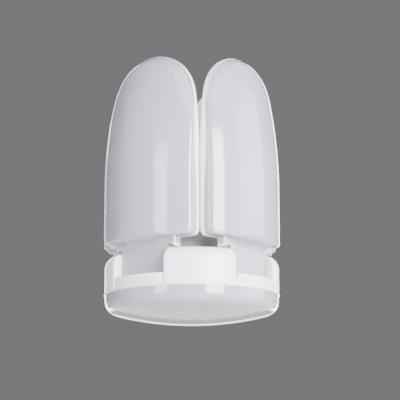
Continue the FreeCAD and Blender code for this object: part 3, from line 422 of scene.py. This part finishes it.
MATERIALS = {
    "white_shell": plastic("white_shell", (0.84, 0.84, 0.85), (0.88, 0.88, 0.89), glow=0.12),
    "white_frame": plastic("white_frame", (0.80, 0.80, 0.815), (0.84, 0.84, 0.85), glow=0.1),
    "white_neck": plastic("white_neck", (0.78, 0.78, 0.79), (0.82, 0.82, 0.83), rough=(0.32, 0.42)),
    "blade_diffuser": plastic("blade_diffuser", (0.35, 0.327, 0.415), (0.375, 0.351, 0.44),
                              rough=(0.13, 0.16), depth=POLISHED_DEPTH, glow=0.35, coat=0.3),
    "lens_diffuser": plastic("lens_diffuser", (0.35, 0.328, 0.405), (0.375, 0.352, 0.43),
                             rough=(0.12, 0.15), depth=POLISHED_DEPTH, glow=0.35, coat=0.5),
    "light_board": plastic("light_board", (0.80, 0.80, 0.77), (0.84, 0.84, 0.81), rough=(0.3, 0.4)),
    "emitter": plastic("emitter", (0.85, 0.66, 0.18), (0.92, 0.76, 0.26), rough=(0.3, 0.45)),
    "steel_screw": metal("steel_screw", (0.52, 0.52, 0.54), (0.64, 0.64, 0.66)),
    "steel_bush": metal("steel_bush", (0.50, 0.50, 0.51), (0.60, 0.60, 0.62)),
    "washer": plastic("washer", (0.10, 0.10, 0.11), (0.16, 0.16, 0.17), rough=(0.5, 0.65)),
    "lead_white": plastic("lead_white", (0.78, 0.78, 0.75), (0.84, 0.84, 0.81), rough=(0.35, 0.5)),
    "lead_black": plastic("lead_black", (0.02, 0.02, 0.02), (0.04, 0.04, 0.04), rough=(0.35, 0.5)),
    "lead_red": plastic("lead_red", (0.42, 0.03, 0.02), (0.55, 0.05, 0.04), rough=(0.35, 0.5)),
    "driver_board": plastic("driver_board", (0.03, 0.16, 0.06), (0.05, 0.22, 0.09), rough=(0.3, 0.4)),
    "capacitor": plastic("capacitor", (0.02, 0.02, 0.03), (0.04, 0.04, 0.06), rough=(0.25, 0.35)),
    "transformer": plastic("transformer", (0.52, 0.40, 0.06), (0.66, 0.52, 0.10), rough=(0.3, 0.45)),
    "nickel": metal("nickel", (0.60, 0.58, 0.54), (0.72, 0.70, 0.66)),
    "black_insulator": plastic("black_insulator", (0.01, 0.01, 0.012), (0.03, 0.03, 0.033),
                               rough=(0.12, 0.25)),
    "contact_metal": metal("contact_metal", (0.55, 0.50, 0.38), (0.66, 0.61, 0.48)),
}


def dress_cad_nodes():
    """Give every node of the frame the material of its slot."""
    for row in frame["record"]["subparts"]:
        data = NODES[row["node"]].data
        data.materials.clear()
        data.materials.append(MATERIALS[row["material_slot"]])


# ---------------------------------------------------------------------------
# Blade
# ---------------------------------------------------------------------------
def blade_ring(inset):
    """The blade's outline (across, up) drawn in by an inset, always with as many points."""
    foot_steps, corner_steps, side_steps, bend_steps, tip_steps = OUTLINE_STEPS
    half = BLADE_HALF - inset
    low = BLADE_LOW + inset
    corner = BLADE_CORNER - inset
    side = SIDE_CURVE - inset
    tip = TIP_RADIUS - inset
    lean = math.degrees(math.asin(TIP_SINE))
    corner_up = BLADE_LOW + BLADE_CORNER
    corner_at = BLADE_HALF - BLADE_CORNER
    right = [
        line((0, low), (corner_at, low), foot_steps),
        arc((corner_at, corner_up), corner, -90, 0, corner_steps),
        line((half, corner_up), (half, SIDE_TOP), side_steps),
        arc((SIDE_CENTRE, SIDE_TOP), side, 0, lean, bend_steps),
        arc((0, TIP_CENTRE), tip, lean, 90, tip_steps),
    ]
    right = np.vstack(right)
    left = np.vstack([[(0, TIP_CENTRE + tip)], right[:0:-1] * (-1, 1)])
    return np.vstack([right, left])


def bulge(start, end, radius, height):
    """Distance out, at a height, of the arc of a radius through two (out, up) points."""
    centre = arc_centre(start, end, radius, 1)
    reach = radius ** 2 - (height - centre[1]) ** 2
    return centre[0] + np.sqrt(np.maximum(reach, 0))


def front_radius(up):
    """The front is a surface of revolution: its radius about the lamp's axis at a height."""
    side = bulge((FRONT_RADIUS, FRONT_STRAIGHT), (NOSE_OUT, NOSE_UP), FRONT_CURVE, up)
    nose = bulge((NOSE_OUT, NOSE_UP), (TIP_OUT, BLADE_TOP + TIP_OVER), NOSE_CURVE, up)
    radius = np.where(up < NOSE_UP, side, nose)
    return np.where(up < FRONT_STRAIGHT, FRONT_RADIUS, radius)


def front_out(across, up, wall=0.0):
    """Distance out of the front, or of its inner face behind a wall."""
    return np.sqrt((front_radius(up) - wall) ** 2 - across ** 2)


def toward_spine(ring, share):
    """Move an outline's points towards the blade's middle line by a share of the way."""
    foot = np.c_[np.zeros(len(ring)), np.clip(ring[:, 1], BLADE_LOW + SPINE_LIFT, TIP_CENTRE)]
    return ring * (1 - share) + foot * share


def edge_round(up):
    """Radius of the front's edge: small along the sides, soft round the tip."""
    share = smooth_step(up, TIP_ROUND_FROM, TIP_ROUND_TO)
    return FRONT_ROUND + (TIP_ROUND - FRONT_ROUND) * share


def dome_rings(wall, soften):
    """Rings of a blade-shaped dome, from the foot of its side to its middle line."""
    base = blade_ring(0.0)
    inward = blade_ring(1.0) - base
    radius = edge_round(base[:, 1]) * soften

    def ring_at(inset):
        return base + inward * inset[:, None]

    rings = []
    ring = ring_at(np.full(len(base), wall))
    edge = front_out(ring[:, 0], ring[:, 1], wall) - radius
    edge = np.maximum(edge, EDGE_OUT + SIDE_LEAST)
    for share in SIDE_SHARES:
        out = EDGE_OUT * (1 - share) + edge * share
        rings.append(np.c_[ring[:, 0], out, ring[:, 1]])
    for turn in np.radians(EDGE_TURNS):
        ring = ring_at(wall + radius * (1 - math.cos(turn)))
        full = front_out(ring[:, 0], ring[:, 1], wall)
        out = full - radius * (1 - math.sin(turn))
        rings.append(np.c_[ring[:, 0], np.maximum(out, EDGE_OUT + EDGE_LEAST), ring[:, 1]])
    reach = BLADE_CORNER - CORNER_LEFT + SOFT_REACH * (radius > SOFT)
    last = ring_at(np.minimum(wall + radius, reach))
    for share in np.linspace(0, 1, SPINE_ROWS)[1:]:
        ring = toward_spine(last, share)
        rings.append(np.c_[ring[:, 0], front_out(ring[:, 0], ring[:, 1], wall), ring[:, 1]])
    if wall:
        return rings
    return [tucked(ring) for ring in rings]


def sweep_radius(across):
    """Radius of the bends under the front: wide in the middle, tight at the collar's ends."""
    return SWEEP + (SWEEP_EDGE - SWEEP) * smooth_step(np.abs(across), SWEEP_FROM, SWEEP_TO)


def sweep_top(across):
    """Height where the front ends and the sweep to the neck starts."""
    return SWEEP_BASE + SWEEP_LIFT * sweep_radius(across)


def tucked(ring):
    """Keep the cover's lower edge just behind the skin that sweeps down to the neck."""
    across, out, up = ring[:, 0], ring[:, 1].copy(), ring[:, 2]
    radius = sweep_radius(across)
    top = sweep_top(across)
    over = np.clip(top - up, 0, radius)
    bent = radius - np.sqrt(radius ** 2 - over ** 2)
    limit = front_out(across, top) - bent - TUCK * over
    under_skin = (np.abs(across) < COLLAR_HALF - COLLAR_LIP) & (up < top)
    out = np.where(under_skin, np.minimum(out, limit), out)
    return np.c_[across, out, up]


def sweep(across, share):
    """The surface from the blade's front (share 0) down to the neck (share 1), out and up."""
    radius = sweep_radius(across)
    top = sweep_top(across)
    front = front_out(across, top)
    run = front - NECK_FRONT
    turn = np.arccos(np.clip(1 - run / (2 * radius), 0, 1))
    flat = np.maximum(run - 2 * radius, 0) * np.clip((share - BEND) / (1 - 2 * BEND), 0, 1)
    first = turn * min(share / BEND, 1)
    last = turn * min((1 - share) / BEND, 1)
    if share < 1 - BEND:
        return front - radius * (1 - np.cos(first)) - flat, top - radius * np.sin(first)
    foot = top - 2 * radius * np.sin(turn)
    return NECK_FRONT + radius * (1 - np.cos(last)), foot + radius * np.sin(last)


def sheet(front, back):
    """A closed sheet between two grids of points, each (rows, columns, 3)."""
    rows, width = front.shape[:2]
    points = np.vstack([front.reshape(-1, 3), back.reshape(-1, 3)])
    behind = rows * width
    faces = []
    for row in range(rows - 1):
        for column in range(width - 1):
            a = row * width + column
            faces.append((a, a + 1, a + 1 + width, a + width))
            faces.append((a + behind, a + width + behind, a + 1 + width + behind, a + 1 + behind))
        for a in (row * width, row * width + width - 1):
            faces.append((a, a + width, a + width + behind, a + behind))
    for first in (0, (rows - 1) * width):
        for a in range(first, first + width - 1):
            faces.append((a, a + 1, a + 1 + behind, a + behind))
    return points, faces


def corner_drop(across):
    """How far the collar's lower corners reach down over the shoulders of the hub's covers."""
    return CORNER_DROP * np.clip((np.abs(across) - CORNER_FROM) / (COLLAR_HALF - CORNER_FROM), 0, 1)


def add_bevel(piece, width, segments, angle):
    """Break the edges that are sharper than an angle in degrees; the width is in millimetres."""
    bevel = piece.modifiers.new("edges", "BEVEL")
    bevel.width = width * MM
    bevel.segments = segments
    bevel.limit_method = "ANGLE"
    bevel.angle_limit = math.radians(angle)
    bevel.use_clamp_overlap = True
    bevel.harden_normals = True


def blade_cover(number):
    """The milky cover, with its wall's thickness."""
    outer = dome_rings(0.0, 1.0)
    inner = dome_rings(DIFFUSER_WALL, INNER_SOFTEN)
    count = len(outer[0])
    rings = inner[::-1] + outer
    faces = ring_faces(len(rings), count)
    make_piece(f"milky_cover_{number}", at_blade(np.vstack(rings), number), faces,
               f"blade_{number}", "blade_diffuser", [f"blade_diffuser_{number}"])


def tray_lip_and_painted_highlight(number):
    """The tray's white lip on the cover's side, carrying a painted highlight up over the cover's side
    wall: low at the foot and full round the tip.
    """
    base = blade_ring(0.0)
    inner = blade_ring(LIP_WALL)
    outer = blade_ring(-LIP_PROUD)
    edge = front_out(base[:, 0], base[:, 1]) - edge_round(base[:, 1])
    # White painted over the milky cover's side stands in for a highlight there, widening with height
    share = PAINTED_HIGHLIGHT_LOW + (1 - PAINTED_HIGHLIGHT_LOW) * smooth_step(base[:, 1], PAINTED_HIGHLIGHT_FROM, PAINTED_HIGHLIGHT_TO)
    top = EDGE_OUT + LIP_LEAST + np.maximum(edge - EDGE_OUT, 0) * share
    low = np.full(len(base), LIP_FROM)
    rings = [np.c_[ring[:, 0], out, np.minimum(ring[:, 1], BLADE_TOP)]
             for ring, out in ((inner, low), (outer, low), (outer, top - LIP_SLOPE), (inner, top))]
    faces = ring_faces(len(rings), len(base), close=True)
    make_piece(f"tray_lip_and_painted_highlight_{number}", at_blade(np.vstack(rings), number), faces, f"blade_{number}",
               "white_shell")


def blade_skin(number):
    """The cover's skin, which sweeps from the front down over the neck."""
    half = COLLAR_HALF - COLLAR_LIP
    beside = np.linspace(SKIN_HALF + SEAM, half, BESIDE_COLUMNS)
    middle = np.linspace(-SKIN_HALF, SKIN_HALF, SKIN_COLUMNS)
    across = np.r_[-beside[::-1], middle, beside]
    wide = np.abs(across) > SKIN_HALF + SEAM / 2
    rear = NECK_SPLIT + SEAM
    low = np.where(wide, COLLAR_LOW - corner_drop(across), NECK_LOW)
    front = []
    back = []
    for above in SKIN_OVER:
        up = sweep_top(across) + above
        out = front_out(across, up) - SKIN_LEAN * above ** 2
        front.append(np.c_[across, out, up])
        back.append(np.c_[across, out - SKIN_WALL, up + SKIN_RISE])
    for share in np.linspace(0, 1, SWEEP_ROWS):
        out, up = sweep(across, share)
        front.append(np.c_[across, out, up])
        back.append(np.c_[across, np.maximum(out - SKIN_WALL, rear), up + SKIN_RISE])
    foot = up
    for share in np.linspace(0, 1, NECK_ROWS)[1:]:
        up = foot + (low - foot) * share
        front.append(np.c_[across, np.full_like(up, NECK_FRONT), up])
        rise = SKIN_RISE * (1 - share)
        back.append(np.c_[across, np.full_like(up, rear), up + rise])
    points, faces = sheet(np.array(front), np.array(back))
    make_piece(f"neck_skin_{number}", at_blade(points, number), faces, f"blade_{number}",
               "blade_diffuser")


def blade_collar(number):
    """The white block behind the skin, where the neck meets the blade."""
    across = np.linspace(-COLLAR_HALF, COLLAR_HALF, COLLAR_COLUMNS)
    sides = []
    for out in (NECK_FRONT - COLLAR_BEHIND, NECK_BACK - SEAM):
        rows = []
        for up in (COLLAR_LOW - corner_drop(across), np.full_like(across, COLLAR_TOP)):
            rows.append(np.c_[across, np.full_like(across, out), up])
        sides.append(np.array(rows))
    points, faces = sheet(*sides)
    block = make_piece(f"collar_{number}", at_blade(points, number), faces, f"blade_{number}",
                       "white_shell")
    add_bevel(block, COLLAR_EDGE, segments=2, angle=50)


# ---------------------------------------------------------------------------
# Hub and cap
# ---------------------------------------------------------------------------
def center_lens():
    """The domed lens, turned from its section."""
    outer = HUB_RADIUS
    side = outer - LENS_TAPER
    edge = side - LENS_EDGE_IN
    edge_up = -(LENS_DROP + LENS_EDGE_DOWN)
    sag = LENS_DEPTH - LENS_DROP - LENS_EDGE_DOWN
    dome = (edge ** 2 + sag ** 2) / (2 * sag)
    spigot = RING_INNER - LENS_FIT
    inner_edge = edge - LENS_INNER_IN
    inner_up = dome - LENS_DEPTH - math.sqrt((dome - LENS_WALL) ** 2 - inner_edge ** 2)
    inner_edge_steps, inner_steps, dome_steps, edge_steps, chamfer_steps = LENS_STEPS
    section = [(spigot, LENS_SPIGOT), (spigot - LENS_WALL, LENS_SPIGOT),
               (spigot - LENS_WALL, -LENS_WALL), (side - LENS_WALL, -LENS_WALL)]
    section += arc_points((side - LENS_WALL, -LENS_DROP), (inner_edge, inner_up),
                          LENS_EDGE_RADIUS - LENS_WALL, -1, inner_edge_steps)
    section += arc_points((inner_edge, inner_up), (LENS_MIDDLE, LENS_WALL - LENS_DEPTH),
                          dome - LENS_WALL, -1, inner_steps)
    section += [(LENS_MIDDLE, LENS_WALL - LENS_DEPTH)]
    section += arc_points((LENS_MIDDLE, -LENS_DEPTH), (edge, edge_up), dome, 1, dome_steps)
    section += arc_points((edge, edge_up), (side, -LENS_DROP), LENS_EDGE_RADIUS, 1, edge_steps)
    section += [(side + out, -LENS_DROP * share) for out, share in LENS_SIDE]
    section += arc_points((outer, -LENS_CHAMFER), (outer - LENS_CHAMFER, 0),
                          LENS_CHAMFER, 1, chamfer_steps)
    section += [(outer - LENS_CHAMFER, 0), (spigot, 0)]
    points, faces = lathe(section, LENS_COLUMNS)
    make_piece("lens", points, faces, "hub", "lens_diffuser", ["center_lens"])


def rim_bead():
    """The thin bead that closes the joint between the rim and the lens."""
    turns = np.radians(np.linspace(0, 360, BEAD_POINTS, endpoint=False))
    centre = HUB_RADIUS - BEAD * BEAD_IN
    section = np.c_[centre + BEAD * np.cos(turns), -BEAD * BEAD_DOWN + BEAD * np.sin(turns)]
    points, faces = lathe(section, BEAD_COLUMNS)
    make_piece("rim_bead", points, faces, "hub", "white_frame", look="white_shell")


def cap_shell():
    """The cap's shell with its rolled thread, one helix of the real pitch."""
    seat = NECK_HEIGHT
    skirt_top = seat + SKIRT_HEIGHT
    foot = skirt_top + THREAD_GAP
    top = skirt_top + THREAD_PITCH * THREAD_TURNS
    mean = (THREAD_CREST + THREAD_ROOT) / 2
    depth = (THREAD_CREST - THREAD_ROOT) / 2
    outer = [(seat, SKIRT_RADIUS - SKIRT_EDGE, 0.0)]
    outer += [(seat + up, SKIRT_RADIUS, 0.0) for up in SKIRT_RINGS]
    outer.append((skirt_top - SKIRT_END, SKIRT_RADIUS - SKIRT_EDGE, 0.0))
    steps = THREAD_TURNS * THREAD_ROWS
    for step in range(steps + 1):
        up = foot + (top - foot) * step / steps
        grow = (up - foot) / (THREAD_PITCH * THREAD_GROW)
        fade = (top - up) / (THREAD_PITCH * THREAD_FADE)
        wave = max(0.0, min(1.0, grow, fade))
        outer.append((up, mean - depth * (1 - wave), depth * wave))
    outer += [(top + up, THREAD_ROOT - inward, 0.0) for up, inward in ROLL]
    bore = SPIGOT_RADIUS + SEAM
    inner = []
    for up, radius, wave in outer[:0:-1]:
        if up > skirt_top:
            up -= SHELL_WALL
        inner.append((up, bore if up < skirt_top - SHELL_WALL else radius - SHELL_WALL, wave))
    inner.append((seat, bore, 0.0))
    angle = np.radians(np.linspace(0, 360, CAP_COLUMNS, endpoint=False))
    points = []
    for up, radius, wave in outer + inner:
        lead = 2 * math.pi * (up - skirt_top) / THREAD_PITCH
        ring = radius + wave * np.cos(lead - angle)
        height = np.full(CAP_COLUMNS, up + RIM)
        points.append(np.c_[ring * np.cos(angle), ring * np.sin(angle), height])
    faces = ring_faces(len(points), CAP_COLUMNS, close=True)
    make_piece("cap_shell", np.vstack(points), faces, "hub", "nickel", ["e27_shell"], sharp=60)


# ---------------------------------------------------------------------------
# Mouldings with broken edges
# ---------------------------------------------------------------------------
def rounded_copy(node, width):
    """The node's own shape with its sharp edges broken, in place of the node."""
    row = next(row for row in frame["record"]["subparts"] if row["node"] == node)
    data = NODES[node].data.copy()
    shape = bmesh.new()
    shape.from_mesh(data)
    bmesh.ops.remove_doubles(shape, verts=shape.verts, dist=MERGE * MM)
    bmesh.ops.dissolve_limit(shape, angle_limit=math.radians(FLAT), verts=shape.verts,
                             edges=shape.edges)
    for face in shape.faces:
        face.smooth = True
    shape.to_mesh(data)
    shape.free()
    data.set_sharp_from_angle(angle=math.radians(SHARP))
    data.materials.clear()
    data.materials.append(MATERIALS[row["material_slot"]])
    piece = bpy.data.objects.new(f"{node}_finished", data)
    bpy.context.scene.collection.objects.link(piece)
    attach(piece, BODY_OF[node])
    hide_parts(node)
    add_bevel(piece, width, segments=3, angle=42)


# ---------------------------------------------------------------------------
# Studio
# ---------------------------------------------------------------------------
def studio():
    """Sky, floor and the camera at the photograph's angle."""
    scene = bpy.context.scene
    world = bpy.data.worlds.new("studio")
    world.use_nodes = True
    background = world.node_tree.nodes["Background"]
    background.inputs["Color"].default_value = SKY
    background.inputs["Strength"].default_value = SKY_STRENGTH
    scene.world = world
    bpy.ops.mesh.primitive_plane_add(size=FLOOR_SIZE, location=(0, 0, FLOOR_HEIGHT))
    floor = bpy.context.object
    floor.name = "floor"
    floor.data.materials.append(plastic("floor", (0.82, 0.82, 0.82), (0.85, 0.85, 0.85),
                                        rough=(0.6, 0.75)))
    camera_data = bpy.data.cameras.new("camera")
    camera_data.lens = FOCAL_PIXELS * camera_data.sensor_width / FRAME_PIXELS
    camera_data.shift_x = (FRAME_PIXELS / 2 - AXIS_PIXEL) / FRAME_PIXELS
    camera = bpy.data.objects.new("camera", camera_data)
    scene.collection.objects.link(camera)
    around = math.radians(CAMERA_AROUND)
    place = (math.sin(around) * CAMERA_AWAY, -math.cos(around) * CAMERA_AWAY, CAMERA_UP + RIM)
    camera.location = Vector(place) * MM
    camera.rotation_euler = (math.radians(90 + CAMERA_PITCH), 0, around)
    scene.camera = camera


def soft_light(name, around, up, away, wide, tall, power):
    """A soft box at an angle round the lamp from the camera's side, aimed at its middle."""
    data = bpy.data.lights.new(name, "AREA")
    data.shape = "RECTANGLE"
    data.size = wide
    data.size_y = tall
    data.energy = power
    lamp = bpy.data.objects.new(name, data)
    bpy.context.scene.collection.objects.link(lamp)
    angle = math.radians(CAMERA_AROUND + around)
    lamp.location = (math.sin(angle) * away, -math.cos(angle) * away, up)
    aim = LIGHT_AIM - lamp.location
    lamp.rotation_euler = aim.to_track_quat("-Z", "Y").to_euler()


# ---------------------------------------------------------------------------
# The scene
# ---------------------------------------------------------------------------
dress_cad_nodes()
for number in range(1, BLADES + 1):
    blade_cover(number)
    tray_lip_and_painted_highlight(number)
    blade_skin(number)
    blade_collar(number)
center_lens()
rim_bead()
cap_shell()
for node, width in EDGE_WIDTHS.items():
    rounded_copy(node, width)
studio()
for light in LIGHTS:
    soft_light(*light)
